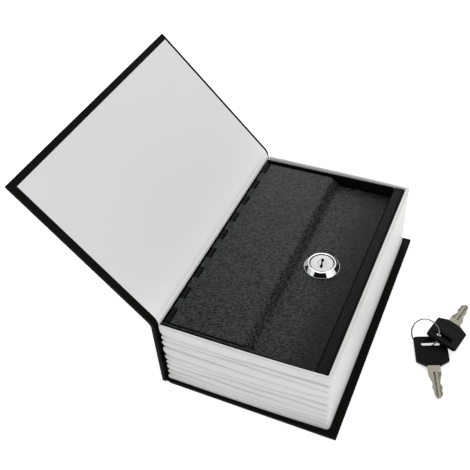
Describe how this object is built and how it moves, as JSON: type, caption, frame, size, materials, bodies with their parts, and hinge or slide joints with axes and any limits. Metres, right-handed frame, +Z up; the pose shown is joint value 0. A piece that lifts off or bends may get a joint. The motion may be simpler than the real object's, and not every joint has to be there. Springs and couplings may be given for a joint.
{
  "type": "book diversion safe",
  "caption": "Hard-cover book whose moulded page block hides a lidded steel cash box with a cam lock, shown with its cover open, beside keys on a ring",
  "frame": {"origin": "middle of the back cover's underside, on the table", "axes": "+X from the spine to the fore edge, +Y from the near end to the far end, +Z up"},
  "size_m": [0.2492, 0.18, 0.1403],
  "materials": {
    "leatherette": "black paper-backed leatherette with a fine grain",
    "board": "grey binder's board",
    "liner": "smooth pale grey paper",
    "pages": "off-white moulded plastic",
    "painted_steel": "dark grey powder coat with an orange-peel grain",
    "plated_steel": "zinc-plated steel",
    "chrome": "polished chrome plate",
    "plug_nickel": "finely turned nickel plate",
    "brass": "stamped brass",
    "blade_nickel": "nickel silver with cut marks",
    "black_plastic": "black moulded plastic, half gloss"
  },
  "bodies": {
    "case": {"back_board": "board", "case_wrap": "leatherette", "spine_board": "board", "spine_endpaper": "liner", "cover_joint": "leatherette", "page_shell": "pages", "box_body": "painted_steel", "catch_bracket": "plated_steel", "hinge_pin": "plated_steel", "key_a_head": "black_plastic", "key_a_blade": "blade_nickel"},
    "cover": {"front_board": "board", "front_wrap": "leatherette", "front_endpaper": "liner"},
    "lid": {"lid": "painted_steel", "lock_housing": "chrome", "lock_washer": "plated_steel", "lock_nut": "plated_steel"},
    "plug": {"lock_plug": "plug_nickel", "stop_washer": "plated_steel", "lock_cam": "plated_steel", "cam_screw": "plated_steel"},
    "wafers_up": {"wafer_1": "brass", "wafer_3": "brass", "wafer_5": "brass"},
    "wafers_down": {"wafer_2": "brass", "wafer_4": "brass"},
    "ring": {"key_ring": "plated_steel"},
    "key_b": {"key_b_head": "black_plastic", "key_b_blade": "blade_nickel"}
  },
  "joints": [
    {"name": "cover_hinge", "type": "hinge", "parent": "case", "child": "cover", "pos_m": [-0.05675, 0, 0.05555], "axis": [0, -1, 0], "range_deg": [-133, 75], "deforming": ["cover_joint"]},
    {"name": "lid_hinge", "type": "hinge", "parent": "case", "child": "lid", "pos_m": [-0.052, 0, 0.0506], "axis": [0, -1, 0], "range_deg": [0, 105]},
    {"name": "lock_turn", "type": "hinge", "parent": "lid", "child": "plug", "pos_m": [0.0177, -0.0008, 0.0465], "axis": [0, 0, -1], "range_deg": [-90, 0]},
    {"name": "wafers_up_slide", "type": "slide", "parent": "plug", "child": "wafers_up", "axis": [-0.2419, 0.9703, 0], "range_m": [0, 0.0008]},
    {"name": "wafers_down_slide", "type": "slide", "parent": "plug", "child": "wafers_down", "axis": [0.2419, -0.9703, 0], "range_m": [0, 0.0008]},
    {"name": "ring_turn", "type": "hinge", "parent": "case", "child": "ring", "pos_m": [0.08839, 0.00207, 0.00723], "axis": [-0.2081, -0.7024, 0.6807], "range_deg": [0, 20]},
    {"name": "key_b_turn", "type": "hinge", "parent": "ring", "child": "key_b", "pos_m": [0.08839, 0.00207, 0.00723], "axis": [-0.2081, -0.7024, 0.6807], "range_deg": [0, 20]}
  ],
  "couplings": [
    {"joint": "wafers_down_slide", "follows": "wafers_up_slide", "ratio": 1}
  ]
}
